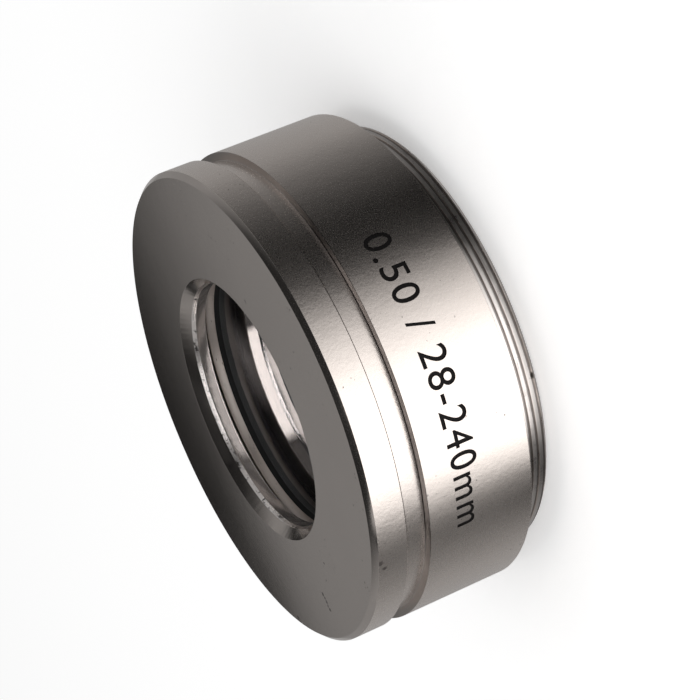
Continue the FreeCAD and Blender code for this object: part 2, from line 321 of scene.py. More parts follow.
def cut_metal(name, colour, roughness, marks, nicks=0.0, metallic=1.0):
    """Bright cut of a lathe tool: fine lines along the turn, and dark nicks where the edge is burred."""
    material, tree, output = new_material(name)
    place, turned, _radius = turned_place(tree)
    fine = noise(tree, place, 6000.0, 2.0, 0.5)
    lines = noise(tree, turned, 8000.0, 3.0, 0.6)
    cloud = noise(tree, place, 160.0, 4.0, 0.6)
    tone = mixed(tree, cloud, shaded(colour, 0.9), shaded(colour, 1.08))
    if nicks:
        ragged = rising(tree, noise(tree, place, 1500.0, 3.0, 0.7), 0.56, 0.64)
        tone = mixed(tree, maths(tree, "MULTIPLY", ragged, nicks), tone, (0.06, 0.052, 0.05))
    rough = maths(tree, "ADD", maths(tree, "MULTIPLY", cloud, 0.08), roughness - 0.04)
    relief = maths(tree, "ADD", maths(tree, "MULTIPLY", fine, marks), maths(tree, "MULTIPLY", lines, marks))
    metal_surface(tree, output, tone, rough, relief, metallic)
    return material


def turned_ring(name, colour, roughness):
    """Fine-turned grey metal, a little dull."""
    material, tree, output = new_material(name)
    place, turned, _radius = turned_place(tree)
    lines = noise(tree, turned, 7000.0, 3.0, 0.6)
    cloud = noise(tree, place, 240.0, 3.0, 0.6)
    tone = mixed(tree, cloud, shaded(colour, 0.82), shaded(colour, 1.15))
    rough = maths(tree, "ADD", maths(tree, "MULTIPLY", lines, 0.16), roughness - 0.08)
    metal_surface(tree, output, tone, rough, maths(tree, "MULTIPLY", lines, 0.16), 0.85)
    return material


def shaded_worn_thread(name, bright, root_shade_colour):
    """Thread with painted shade in its roots, darker towards the root radius, bright worn crests and streaks
    along the turns.
    """
    material, tree, output = new_material(name)
    place, turned, radius = turned_place(tree)
    streak = noise(tree, turned, 2600.0, 3.0, 0.65)
    smear = noise(tree, place, 700.0, 3.0, 0.6)
    # crest is 0 at the roots and 1 at the crests: painted shade that darkens the roots
    crest = add(tree, "ShaderNodeMapRange", {
        "Value": radius, "From Min": (THREAD - THREAD_DEPTH) * MM, "From Max": THREAD * MM}).outputs["Result"]
    wear_and_root_shade = maths(tree, "ADD", maths(tree, "MULTIPLY", crest, 0.42), maths(tree, "MULTIPLY", streak, 0.75))
    wear_and_root_shade = maths(tree, "ADD", wear_and_root_shade, maths(tree, "MULTIPLY", smear, 0.32))
    share = rising(tree, wear_and_root_shade, 0.70, 0.90)
    tone = mixed(tree, share, root_shade_colour, bright)
    tone = mixed(tree, spots(tree, place, THREAD_STAINS), tone, (0.05, 0.045, 0.04))
    rough = maths(tree, "ADD", maths(tree, "MULTIPLY", smear, 0.25), 0.18)
    relief = maths(tree, "ADD", maths(tree, "MULTIPLY", streak, 0.1), maths(tree, "MULTIPLY", smear, 0.08))
    metal_surface(tree, output, tone, rough, relief)
    return material


# Side of the groove that gets the painted shade, a little off -Y towards -X
SHADED_SIDE = (-0.0872, -0.9962, 0.0)


def groove_shade(name, bare_colour, shade_colour):
    """Step face and neck of the groove with painted shade: dark on the side towards -Y, bright away from it,
    the edge between broken by streaks along the turns.
    """
    material, tree, output = new_material(name)
    place, turned, _radius = turned_place(tree)
    streak = noise(tree, turned, 2600.0, 3.0, 0.65)
    smear = noise(tree, place, 500.0, 3.0, 0.6)
    side = add(tree, "ShaderNodeVectorMath", {0: place, 1: SHADED_SIDE}, operation="DOT_PRODUCT")
    near = add(tree, "ShaderNodeMapRange", {
        "Value": side.outputs["Value"],
        "From Min": 0.58 * BARREL * MM, "From Max": 0.80 * BARREL * MM}).outputs["Result"]
    shade_amount = maths(tree, "ADD", near, maths(tree, "MULTIPLY", maths(tree, "SUBTRACT", streak, 0.5), 0.5))
    share = rising(tree, shade_amount, 0.12, 0.88)
    tone = mixed(tree, share, bare_colour, shade_colour)
    rough = maths(tree, "ADD", maths(tree, "MULTIPLY", smear, 0.2), 0.22)
    relief = maths(tree, "ADD", maths(tree, "MULTIPLY", streak, 0.1), maths(tree, "MULTIPLY", smear, 0.08))
    metal_surface(tree, output, tone, rough, relief)
    return material


def black_finish(name, colour, roughness, grain, shine=0.5):
    """Matt black lacquer with a fine uneven surface."""
    material, tree, output = new_material(name)
    place, turned, _radius = turned_place(tree)
    fine = noise(tree, place, 3000.0, 3.0, 0.6)
    lines = noise(tree, turned, 5000.0, 2.0, 0.6)
    tone = mixed(tree, fine, shaded(colour, 0.7), shaded(colour, 1.4))
    relief = maths(tree, "ADD", maths(tree, "MULTIPLY", fine, grain), maths(tree, "MULTIPLY", lines, grain))
    bump = add(tree, "ShaderNodeBump", {"Height": relief, "Distance": 0.0001, "Strength": 1.0})
    rough = maths(tree, "ADD", maths(tree, "MULTIPLY", fine, 0.15), roughness)
    shader = add(tree, "ShaderNodeBsdfPrincipled", {
        "Base Color": tone, "Roughness": rough, "Specular IOR Level": shine,
        "Normal": bump.outputs["Normal"]})
    tree.links.new(shader.outputs[0], output.inputs["Surface"])
    return material


# Centres of a painted soft sheen on the glass's far side, which lightens its dark band there
PAINTED_SHEEN_SPOTS = [(7.0, 8.2, RING_FOOT), (4.6, 8.2, RING_FOOT), (2.2, 8.4, RING_FOOT)]
PAINTED_SHEEN_REACH = 4.2
GLASS_INDEX = 1.56


def coated_glass(name):
    """Optical glass with a faint pink coating, a little dust, and a painted soft sheen of pale film on its
    far side.
    """
    material, tree, output = new_material(name)
    place = add(tree, "ShaderNodeTexCoord").outputs["Object"]
    dust = rising(tree, noise(tree, place, 1400.0, 2.0, 0.5), 0.70, 0.76)
    haze = noise(tree, place, 120.0, 3.0, 0.6)
    rough = maths(tree, "ADD", maths(tree, "MULTIPLY", dust, 0.25), maths(tree, "MULTIPLY", haze, 0.012))
    tone = mixed(tree, haze, (0.97, 0.985, 0.97), (1.0, 0.995, 0.985))
    shader = add(tree, "ShaderNodeBsdfPrincipled", {
        "Base Color": tone, "Roughness": rough, "IOR": GLASS_INDEX, "Transmission Weight": 1.0,
        "Specular Tint": (1.0, 0.86, 0.90, 1)})
    dust_and_sheen_film = add(tree, "ShaderNodeBsdfDiffuse", {"Color": (0.86, 0.78, 0.76, 1)})
    share = maths(tree, "ADD", maths(tree, "MULTIPLY", haze, 0.012), maths(tree, "MULTIPLY", dust, 0.04))
    # Painted sheen: pale film that lightens the glass round each centre
    for centre in PAINTED_SHEEN_SPOTS:
        gap = add(tree, "ShaderNodeVectorMath", {0: place, 1: Vector(centre) * MM}, operation="DISTANCE")
        sheen_share = add(tree, "ShaderNodeMapRange", {
            "Value": gap.outputs["Value"], "From Min": 0.0, "From Max": PAINTED_SHEEN_REACH * MM,
            "To Min": 0.11, "To Max": 0.0}, interpolation_type="SMOOTHSTEP").outputs["Result"]
        share = maths(tree, "ADD", share, maths(tree, "MULTIPLY", sheen_share, haze))
    dust_and_sheen = add(tree, "ShaderNodeMixShader", {0: share, 1: shader.outputs[0], 2: dust_and_sheen_film.outputs[0]})
    tree.links.new(dust_and_sheen.outputs[0], output.inputs["Surface"])
    return material


def bloomed_glass(name):
    """Rear of the glass, whose coating lets nearly all of the light through."""
    material, tree, output = new_material(name)
    place = add(tree, "ShaderNodeTexCoord").outputs["Object"]
    haze = noise(tree, place, 120.0, 3.0, 0.6)
    tone = mixed(tree, haze, (0.95, 0.97, 0.97), (0.98, 0.97, 0.99))
    clear = add(tree, "ShaderNodeBsdfRefraction", {
        "Color": tone, "Roughness": maths(tree, "MULTIPLY", haze, 0.012), "IOR": GLASS_INDEX})
    tree.links.new(clear.outputs[0], output.inputs["Surface"])
    return material


# Marking: plain figures cut into the grip and filled with black

MARK_TEXT = "0.50 / 28-240mm"
MARK_FROM = math.radians(-25.0)
MARK_TO = math.radians(46.5)
MARK_FOOT = 9.6
MARK_CAP = 2.95
MARK_DEPTH = 0.1
MARK_WEIGHT = 0.005
MARK_SPACING = 1.12
FIGURE_HEIGHT = 0.69
PATCH_FOOT = MARK_FOOT - 0.7
PATCH_TOP = MARK_FOOT + MARK_CAP + 0.9
PATCH_MARGIN = 0.05


def figure_outlines():
    """Closed outlines of the marking on the flat: along it from 0, up it with the figures 1 high."""
    curve = bpy.data.curves.new("marking_outline", "FONT")
    curve.body = MARK_TEXT
    curve.resolution_u = 6
    curve.offset = MARK_WEIGHT
    curve.space_character = MARK_SPACING
    carrier = bpy.data.objects.new("marking_outline", curve)
    bpy.context.scene.collection.objects.link(carrier)
    bpy.context.view_layer.update()
    flat = bpy.data.meshes.new_from_object(carrier.evaluated_get(bpy.context.evaluated_depsgraph_get()))
    mesh = bmesh.new()
    mesh.from_mesh(flat)
    bmesh.ops.remove_doubles(mesh, verts=mesh.verts, dist=1e-5)
    border = [edge for edge in mesh.edges if len(edge.link_faces) == 1]
    places = np.array([v.co[:2] for v in mesh.verts])
    mesh.verts.index_update()
    used = sorted({v.index for edge in border for v in edge.verts})
    index = {old: new for new, old in enumerate(used)}
    edges = [tuple(index[v.index] for v in edge.verts) for edge in border]
    points = places[used]
    mesh.free()
    bpy.data.objects.remove(carrier)
    bpy.data.meshes.remove(flat)
    bpy.data.curves.remove(curve)
    points[:, 0] -= points[:, 0].min()
    return points / FIGURE_HEIGHT, edges


def inside_outlines(places, points, edges):
    """Whether each place lies inside the outlines, by the even and odd rule."""
    first = points[[a for a, _ in edges]]
    second = points[[b for _, b in edges]]
    inside = np.zeros(len(places), bool)
    for number, (x, y) in enumerate(places):
        spans = (first[:, 1] > y) != (second[:, 1] > y)
        low, high = first[spans], second[spans]
        cross = low[:, 0] + (y - low[:, 1]) * (high[:, 0] - low[:, 0]) / (high[:, 1] - low[:, 1])
        inside[number] = np.count_nonzero(cross > x) % 2 == 1
    return inside


def photo_angle(turn):
    """Angle about the axis for a turn from the -Y side towards the -X side."""
    return -math.pi / 2 - turn


def marked_patch(mesh, first_column, last_column, foot, top):
    """The part of the grip between two columns of the lathe, with the figures cut into it."""
    points, edges = figure_outlines()
    flat = np.empty_like(points)
    flat[:, 0] = MARK_FROM * BARREL + MARK_CAP * points[:, 0]
    flat[:, 1] = MARK_FOOT + MARK_CAP * (1 - points[:, 1])
    step = 2 * math.pi / SEGMENTS
    columns = [(-math.pi / 2 - k * step) * BARREL for k in range(first_column, last_column + 1)]
    places = [Vector(p) for p in flat]
    joins = list(edges)
    for x in columns:
        joins.append((len(places), len(places) + 1))
        places += [Vector((x, foot)), Vector((x, top))]
    rows = len(flat)
    for k in range(len(columns) - 1):
        joins.append((rows + 2 * k, rows + 2 * k + 2))
        joins.append((rows + 2 * k + 1, rows + 2 * k + 3))
    corners, _edges, faces, *_rest = geometry.delaunay_2d_cdt(places, joins, [], 0, 1e-6)
    corners = np.array([c[:] for c in corners])
    centres = np.array([corners[list(face)].mean(axis=0) for face in faces])
    cut = inside_outlines(centres, flat, edges)

    def lifted(radius):
        made = {}

        def at(index):
            if index not in made:
                turn, height = corners[index][0] / BARREL, corners[index][1]
                angle = photo_angle(turn)
                made[index] = mesh.verts.new(
                    (radius * math.cos(angle) * MM, radius * math.sin(angle) * MM, height * MM))
            return made[index]
        return at

    surface, floor = lifted(BARREL), lifted(BARREL - MARK_DEPTH)
    sides = {}
    for face, is_cut in zip(faces, cut):
        level = floor if is_cut else surface
        made = mesh.faces.new([level(k) for k in face])
        made.material_index = INKED if is_cut else SATIN
        made.smooth = True
        for a, b in zip(face, [*face[1:], face[0]]):
            sides.setdefault(frozenset((a, b)), []).append(is_cut)
    for side, kinds in sides.items():
        if len(kinds) == 2 and kinds[0] != kinds[1]:
            a, b = side
            made = mesh.faces.new((surface(a), surface(b), floor(b), floor(a)))
            made.material_index = INKED


# Barrel

def thread_radius(height, angle):
    """Radius of the 60 degree thread, within its lead-in chamfer and its runout."""
    phase = (height / THREAD_PITCH - angle / (2 * math.pi)) % 1.0
    from_crest = np.abs(phase - 0.5) * THREAD_PITCH
    sink = np.clip((from_crest - THREAD_CREST / 2) / (THREAD_DEPTH * math.tan(math.radians(30))), 0, 1)
    crest = THREAD - THREAD_DEPTH * sink
    envelope = np.minimum(THREAD - LEAD_IN + height, RELIEF + RELIEF_FOOT - height)
    return np.minimum(crest, envelope)


def add_thread(mesh, angles, rows_per_turn=14):
    """Helical rows from the end face up to the relief; rows past either end lie on that end."""
    count = len(angles)
    rows = math.ceil((RELIEF_FOOT / THREAD_PITCH + 1) * rows_per_turn) + 1
    turns = np.arange(count) / count
    grid = []
    for row in range(rows + 1):
        height = np.clip(THREAD_PITCH * (row / rows_per_turn - 1 + turns), 0, RELIEF_FOOT)
        grid.append(ring_vertices(mesh, thread_radius(height, angles), height, angles))
    for row in range(rows):
        for k in range(count - 1):
            face = mesh.faces.new((grid[row][k], grid[row][k + 1], grid[row + 1][k + 1], grid[row + 1][k]))
            face.material_index = THREADED
            face.smooth = True
        if row + rows_per_turn < rows:
            face = mesh.faces.new((
                grid[row][-1], grid[row + rows_per_turn][0],
                grid[row + rows_per_turn + 1][0], grid[row + 1][-1]))
            face.material_index = THREADED
            face.smooth = True


def well_corners(top):
    """The stray-light steps of the well, from the stop outwards."""
    corners = []
    for step in range(WELL_STEPS, 0, -1):
        radius = WELL - (WELL - STOP) * step / (WELL_STEPS + 1)
        for level in (step, step - 1):
            height = WELL_DEPTH + (top - WELL_DEPTH) * level / WELL_STEPS
            corners.append((radius, height, 0.02, LACQUERED))
    return corners


def make_barrel():
    well_top = SEAT - STOP_LAND
    corners = [
        (RELIEF, RELIEF_FOOT, 0, SATIN),
        (RELIEF, THREAD_REACH, 0.08, SATIN),
        (BARREL - 0.06, THREAD_REACH, 0.05, SATIN),
        (BARREL, THREAD_REACH + 0.12, 0.08, SATIN),
        (BARREL, PATCH_FOOT, 0, SATIN),
        (BARREL, PATCH_TOP, 0, SATIN),
        # The step face and the neck carry the painted groove shade
        (BARREL, NECK_FOOT, 0.04, GROOVE_SHADE),
        (NECK, NECK_FOOT, 0.08, GROOVE_SHADE),
        (NECK, CAP_SEAT, 0.03, SATIN),
        (NOSE, CAP_SEAT, 0.03, SATIN),
        (NOSE, NOSE_TOP, 0.12, SATIN),
        (RING_THREAD, NOSE_TOP, 0.12, LACQUERED),
        (RING_THREAD, POCKET_TOP, 0.05, LACQUERED),
        (GLASS_POCKET, POCKET_TOP, 0.03, LACQUERED),
        (GLASS_POCKET, SEAT, 0.03, LACQUERED),
        (STOP, SEAT, 0.05, LACQUERED),
        (STOP, well_top, 0.05, LACQUERED),
        *well_corners(well_top),
        (WELL, WELL_DEPTH, 0.03, LACQUERED),
        (WELL, 0.5, 0.06, SATIN),
        (WELL + 0.5, 0.0, 0.06, SATIN),
        (THREAD - LEAD_IN, 0.0, 0, SATIN),
    ]
    points = soften(corners, 0.05)
    columns = np.arange(SEGMENTS)
    angles = 2 * math.pi * columns / SEGMENTS
    first = round((photo_angle(MARK_TO) - PATCH_MARGIN) % (2 * math.pi) / (2 * math.pi) * SEGMENTS)
    last = round((photo_angle(MARK_FROM) + PATCH_MARGIN) % (2 * math.pi) / (2 * math.pi) * SEGMENTS)
    mesh = bmesh.new()
    add_thread(mesh, angles)
    rings = []
    for radius, height, _tag in points:
        if (radius, height) == (THREAD - LEAD_IN, 0.0):
            rings.append(ring_vertices(mesh, thread_radius(0.0, angles), 0.0, angles))
        else:
            rings.append(ring_vertices(mesh, radius, height, angles))
    marked = {(BARREL, PATCH_FOOT), (BARREL, PATCH_TOP)}
    for index in range(len(rings) - 1):
        low, high = points[index], points[index + 1]
        lower, upper = rings[index], rings[index + 1]
        on_mark = {low[:2], high[:2]} == marked
        mixed_tag = LACQUERED if LACQUERED in (low[2], high[2]) else SATIN
        for k in range(SEGMENTS):
            if on_mark and first <= k < last:
                continue
            after = (k + 1) % SEGMENTS
            face = mesh.faces.new((lower[k], lower[after], upper[after], upper[k]))
            face.material_index = low[2] if low[2] == high[2] else mixed_tag
            face.smooth = True
    marked_patch(mesh, first - SEGMENTS, last - SEGMENTS, PATCH_FOOT, PATCH_TOP)
    item = weigh_normals(finish_mesh(mesh, "barrel_turned"))
    level_grip(item.data)
    return item


def level_grip(data):
    """True cylinder normals on the grip, so that the cut figures leave no dents in its shine."""
    normals = np.array([n.vector[:] for n in data.corner_normals])
    places = np.array([v.co[:] for v in data.vertices]) / MM
    radii = np.hypot(places[:, 0], places[:, 1])
    for face in data.polygons:
        corners = list(face.vertices)
        if face.material_index == SATIN and np.all(np.abs(radii[corners] - BARREL) < 1e-3):
            for loop, corner in zip(face.loop_indices, corners):
                normals[loop] = (places[corner, 0] / radii[corner], places[corner, 1] / radii[corner], 0)
    data.normals_split_custom_set([tuple(n) for n in normals])


# Front cap

def burr(radius, height, angles):
    """How far each edge of the mouth wanders from its circle."""
    if radius < MOUTH + 0.25 and height > HEIGHT - 1.1:
        return 0.002 * wave(angles, 11, 24, 30, 200) + 0.004 * wave(angles, 12, 8, 4, 20)
    if radius < MOUTH + 0.02 and abs(height - LIP_BAND) < 0.1:
        return 0.0015 * (1 + wave(angles, 14, 24, 30, 160))
    if abs(radius - (MOUTH + MOUTH_CHAMFER)) < 0.12:
        return 0.010 * wave(angles, 13, 18, 10, 120)
    return 0.0


def make_front_cap():
    corners = [
        (NOSE + NOSE_GAP, CAP_SEAT, 0.03, SATIN),
        (BARREL - 0.13, CAP_SEAT, 0.03, SATIN),
        (BARREL, CAP_SEAT + 0.14, 0.05, SATIN),
        (BARREL, HEIGHT - CAP_CHAMFER, 0.03, CUT),
        (BARREL - CAP_CHAMFER, HEIGHT, 0.03, FACED),
        (MOUTH + MOUTH_CHAMFER, HEIGHT, 0.03, CUT),
        (MOUTH + LIP_SLOPE, HEIGHT - MOUTH_CHAMFER, 0.03, BURRED),
        (MOUTH, LIP_BAND, 0.05, BORED),
        (MOUTH, LIP_BAND - 0.12, 0, BORED),
        (MOUTH, LIP_FOOT + 0.16, 0, BORED),
        (MOUTH, LIP_FOOT + 0.06, 0.05, SATIN),
        (MOUTH + 0.08, LIP_FOOT, 0.03, SATIN),
        (NOSE + NOSE_GAP, LIP_FOOT, 0.05, SATIN),
    ]
    mesh = bmesh.new()
    closed_lathe(mesh, soften(corners, 0.05), 2 * math.pi * np.arange(SEGMENTS) / SEGMENTS, burr)
    return weigh_normals(finish_mesh(mesh, "front_cap_turned"))


# Retaining ring in front of the glass

def make_ring():
    corners = [
        (RING_BORE, RING_FOOT, 0.03, BLACKED),
        (RING_JOINT - 0.15, RING_FOOT, 0.03, BLACKED),
        (RING_JOINT, RING_FOOT + 0.15, 0.03, BLACKED),
        (RING_JOINT, RING_TOP - 0.15, 0.03, BLACKED),
        (RING_JOINT - 0.15, RING_TOP, 0.03, TURNED),
        (RING_BORE + RING_BEVEL[0], RING_TOP, 0.04, TURNED),
        (RING_BORE, RING_TOP - RING_BEVEL[1], 0, BLACKED),
        (RING_BORE, RING_TOP - RING_BEVEL[1] - 0.1, 0, BLACKED),
    ]
    mesh = bmesh.new()
    closed_lathe(mesh, soften(corners, 0.03, 5), 2 * math.pi * np.arange(SEGMENTS) / SEGMENTS)
    item = finish_mesh(mesh, "retaining_ring_turned")
    cutters = []
    for side in (-1, 1):
        block = bmesh.new()
        bmesh.ops.create_cube(block, size=1.0, matrix=Matrix.LocRotScale(
            Vector((side * SLOT_AT, 0, RING_TOP)) * MM, None, Vector(SLOT_SIZE) * MM))
        cutter = finish_mesh(block, "ring_slot_cutter")
        cutters.append(cutter)
        boolean = item.modifiers.new("slot", "BOOLEAN")
        boolean.operation = "DIFFERENCE"
        boolean.solver = "EXACT"
        boolean.object = cutter
    shaped = bpy.data.meshes.new_from_object(item.evaluated_get(bpy.context.evaluated_depsgraph_get()))
    item.modifiers.clear()
    item.data = shaped
    for cutter in cutters:
        bpy.data.objects.remove(cutter)
    return weigh_normals(item)


# Glass: the cemented pair as one body of glass

def dome(radius_to, height, curve, points, tag):
    """Heights of a sphere's cap from the axis out, risen by its sagitta; a negative curve sinks."""
    radii = np.linspace(0, radius_to, points)
    rise = abs(curve) - np.sqrt(curve ** 2 - radii ** 2)
    return [(r, height + math.copysign(1, curve) * z, tag) for r, z in zip(radii, rise)]


def sagitta(curve, radius):
    return curve - math.sqrt(curve ** 2 - radius ** 2)


def make_glass():
    flat = GLASS - GLASS_RIM
    front = dome(flat, RING_FOOT - sagitta(FRONT_CURVE, flat), FRONT_CURVE, 24, COATED)
    rear = dome(flat, SEAT + sagitta(REAR_CURVE, flat), -REAR_CURVE, 24, BLOOMED)
    edge = [
        (GLASS - GLASS_CHAMFER, RING_FOOT, PAINTED),
        (GLASS, RING_FOOT - GLASS_CHAMFER, PAINTED),
        (GLASS, SEAT + GLASS_CHAMFER, PAINTED),
        (GLASS - GLASS_CHAMFER, SEAT, BLOOMED),
    ]
    mesh = bmesh.new()
    closed_lathe(mesh, front + edge + rear[::-1], 2 * math.pi * np.arange(240) / 240)
    bmesh.ops.remove_doubles(mesh, verts=mesh.verts, dist=1e-8)
    loose = [edge for edge in mesh.edges if not edge.link_faces]
    bmesh.ops.delete(mesh, geom=loose, context="EDGES")
    return finish_mesh(mesh, "doublet_glass", 20)


# Dressing the part

chrome = satin_metal("satin_chrome", (0.765, 0.692, 0.643), 0.26, 0.12, 0.015, 0.22, FLANK_STAINS)
face_chrome = satin_metal("faced_chrome", (0.75, 0.682, 0.635), 0.14, 0.03, 0.008, 0.03, FACE_STAINS)
edge_chrome = cut_metal("cut_edge", (0.74, 0.675, 0.63), 0.15, 0.015)
lip_chrome = cut_metal("bored_lip", (0.75, 0.69, 0.65), 0.07, 0.004, 0.0, 0.88)
lip_band = cut_metal("burred_lip", (0.90, 0.85, 0.82), 0.17, 0.10, 0.85, 0.95)
ring_metal = turned_ring("ring_metal", (0.52, 0.47, 0.435), 0.30)
# Thread colours: worn metal, and the painted shade of its roots
thread_shade_and_wear = shaded_worn_thread("shaded_worn_thread", (0.80, 0.745, 0.71), (0.30, 0.27, 0.255))
# Step face and neck: bare metal colour, and painted shade on the -Y side
groove_shade_metal = groove_shade("groove_shade", (0.66, 0.61, 0.58), (0.05, 0.043, 0.04))
ink = black_finish("figure_fill", (0.007, 0.006, 0.006), 0.6, 0.04, 0.15)
lacquer = black_finish("inner_lacquer", (0.02, 0.019, 0.02), 0.34, 0.06)
ring_black = black_finish("ring_black", (0.012, 0.012, 0.012), 0.6, 0.04, 0.12)
edge_paint = black_finish("glass_edge_paint", (0.012, 0.012, 0.012), 0.30, 0.03)
glass = coated_glass("coated_glass")
rear_glass = bloomed_glass("bloomed_glass")


def dress(item, replaced, materials):
    for material in materials:
        item.data.materials.append(material)
    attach(item, "root")
    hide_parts(*replaced)


dress(make_barrel(), ["barrel"], [chrome, ink, lacquer, thread_shade_and_wear, groove_shade_metal])
dress(make_front_cap(), ["front_cap"], [chrome, face_chrome, edge_chrome, lip_band, lip_chrome])
dress(make_ring(), ["retaining_ring"], [ring_metal, ring_black])
dress(make_glass(), ["crown_element", "flint_element"], [glass, edge_paint, rear_glass])


# Stage: pale floor, soft lamps and the cards that the metal mirrors

def stage_mesh(name, corners, faces, material):
    data = bpy.data.meshes.new(name)
    data.from_pydata([Vector(c) * MM for c in corners], [], faces)
    item = bpy.data.objects.new(name, data)
    bpy.context.scene.collection.objects.link(item)
    data.materials.append(material)
    return item


def floor_material():
    """Pale paper that shows nearly white, and lets a view from below through."""
    material, tree, output = new_material("floor_paper")
    path = add(tree, "ShaderNodeLightPath")
    seen = maths(tree, "MAXIMUM", path.outputs["Is Camera Ray"], path.outputs["Is Glossy Ray"])
    seen = maths(tree, "MAXIMUM", seen, path.outputs["Is Transmission Ray"])
    paper = add(tree, "ShaderNodeBsdfDiffuse", {"Color": (0.86, 0.86, 0.86, 1)})
    glow = add(tree, "ShaderNodeEmission", {"Strength": maths(tree, "MULTIPLY", seen, FLOOR_GLOW)})
    both = add(tree, "ShaderNodeAddShader", {0: paper.outputs[0], 1: glow.outputs[0]})
    under = add(tree, "ShaderNodeNewGeometry").outputs["Backfacing"]
    clear = add(tree, "ShaderNodeBsdfTransparent")
    shown = add(tree, "ShaderNodeMixShader", {0: under, 1: both.outputs[0], 2: clear.outputs[0]})
    tree.links.new(shown.outputs[0], output.inputs["Surface"])
    return material


FLOOR_GLOW = 0.32
FLOOR = -0.02
stage_mesh(
    "floor", [(-3000, -3000, FLOOR), (3000, -3000, FLOOR), (3000, 3000, FLOOR), (-3000, 3000, FLOOR)],
    [(0, 1, 2, 3)], floor_material())


DEEP_SHARE = 0.12


def card_material(name, deep):
    """Glow by the card's tones for the first and second mirroring surface, and a share for later ones."""
    material, tree, output = new_material(name)
    first = add(tree, "ShaderNodeAttribute", attribute_name="first_tone").outputs["Fac"]
    later = add(tree, "ShaderNodeAttribute", attribute_name="tone").outputs["Fac"]
    depth = add(tree, "ShaderNodeLightPath").outputs["Ray Depth"]
    strength = add(tree, "ShaderNodeMapRange", {
        "Value": depth, "From Min": 1.0, "From Max": 2.0, "To Min": first, "To Max": later}).outputs["Result"]
    share = add(tree, "ShaderNodeMapRange", {
        "Value": depth, "From Min": 2.0, "From Max": 3.0, "To Min": 1.0, "To Max": deep}).outputs["Result"]
    glow = add(tree, "ShaderNodeEmission", {"Strength": maths(tree, "MULTIPLY", strength, share)})
    tree.links.new(glow.outputs[0], output.inputs["Surface"])
    material.cycles.emission_sampling = "NONE"
    return material


def card(name, corners, faces, tones, first_tones=None):
    """A card that only mirroring surfaces see; with first tones of its own it also fades in deep mirrors."""
    deep = 1.0 if first_tones is None else DEEP_SHARE
    item = stage_mesh(name, corners, faces, card_material(name, deep))
    first_tones = tones if first_tones is None else first_tones
    for title, values in (("tone", tones), ("first_tone", first_tones)):
        layer = item.data.attributes.new(title, "FLOAT", "POINT")
        layer.data.foreach_set("value", np.array(values, np.float32))
    item.visible_camera = False
    item.visible_diffuse = False
    item.visible_transmission = False
    item.visible_shadow = False
    return item


def grid_faces(rows, columns):
    """Faces of a sheet whose corners were listed row by row."""
    return [
        (columns * r + c, columns * r + c + 1, columns * (r + 1) + c + 1, columns * (r + 1) + c)
        for r in range(rows - 1) for c in range(columns - 1)]


# Turn in degrees from the -Y side towards -X, and the tone that the flank and the thread mirror there
FLANK_TONES = [
    (-90, 0.40), (-62, 0.35), (-52, 0.19), (-42, 0.07), (-33, 0.012), (-26, 0.012), (-19, 0.05),
    (-12, 0.5), (-6, 0.95), (0, 1.4), (6, 1.8), (27, 2.0), (33, 1.3), (39, 0.2), (46, 0.08),
    (56, 0.24), (66, 0.36), (90, 0.40)]
THREAD_TONES = [
    (-90, 0.25), (-62, 0.20), (-52, 0.12), (-42, 0.08), (-33, 0.05), (-26, 0.04), (-19, 0.05),
    (-12, 0.16), (-6, 0.36), (0, 0.45), (21, 0.95), (27, 0.65), (33, 0.35), (39, 0.12), (47, 0.07),
    (56, 0.18), (66, 0.26), (90, 0.26)]


def fan_card(name, stops, radius, reach, height):
    """A fan on the floor round the lens, each rib along the line that one strip of its flank mirrors."""
    turns = np.radians(np.arange(-90, 91, 1.0))
    tones = np.interp(np.degrees(turns), *zip(*stops))
    corners, values = [], []
    for turn, tone in zip(turns, tones):
        foot = np.array([-math.sin(turn), -math.cos(turn)]) * radius
        away = np.array([-math.sin(2 * turn), -math.cos(2 * turn)])
        for length in (0.0, reach):
            corners.append((*(foot + away * length), height))
            values.append(tone)
    faces = [(2 * k, 2 * k + 1, 2 * k + 3, 2 * k + 2) for k in range(len(turns) - 1)]
    return card(name, corners, faces, values)


def smooth(value, low, high):
    share = np.clip((value - low) / (high - low), 0, 1)
    return share * share * (3 - 2 * share)


BACK_CARD_AT = 62.0


def back_card():
    """Low card behind the lens, which its front face mirrors: dark far off, lighter near and towards -X."""
    columns = np.linspace(-130, 130, 53)
    rows = np.array([22.0, 26, 30, 33, 35, 37, 39, 41, 43, 45, 47, 49, 52, 56, 62, 76])
    corners, values = [], []
    for z in rows:
        for x in columns:
            corners.append((x, BACK_CARD_AT, z))
            low, high = np.interp(x, [-12, 6], [37.5, 35]), np.interp(x, [-12, 6], [40.5, 49])
            tone = 0.012 + 0.225 * float(np.clip((z - low) / (high - low), 0, 1))
            tone += 0.08 * (1 - smooth(z, 29, 33)) * smooth(abs(x), 11, 17)
            values.append(float(tone + (0.27 - tone) * smooth(abs(x), 38, 54)))
    return card("back_card", corners, grid_faces(len(rows), len(columns)), values)


ARC_COLUMNS = 49


def arc_card(name, turns, rows, ends=(0.0, 0.0)):
    """A band round the axis between two turns; a row gives radius, height, first tone and later tone.

    Towards its two ends the band's tones go over into those that are given for its ends."""
    corners, firsts, laters = [], [], []
    for radius, height, first, later in rows:
        for turn in np.linspace(turns[0], turns[1], ARC_COLUMNS):
            angle = math.radians(turn)
            corners.append((-radius * math.sin(angle), -radius * math.cos(angle), height))
            share = smooth(turn, turns[0], turns[0] + 18) * (1 - smooth(turn, turns[1] - 12, turns[1]))
            firsts.append(float(first * share + ends[0] * (1 - share)))
            laters.append(float(later * share + ends[1] * (1 - share)))
    return card(name, corners, grid_faces(len(rows), ARC_COLUMNS), laters, firsts)


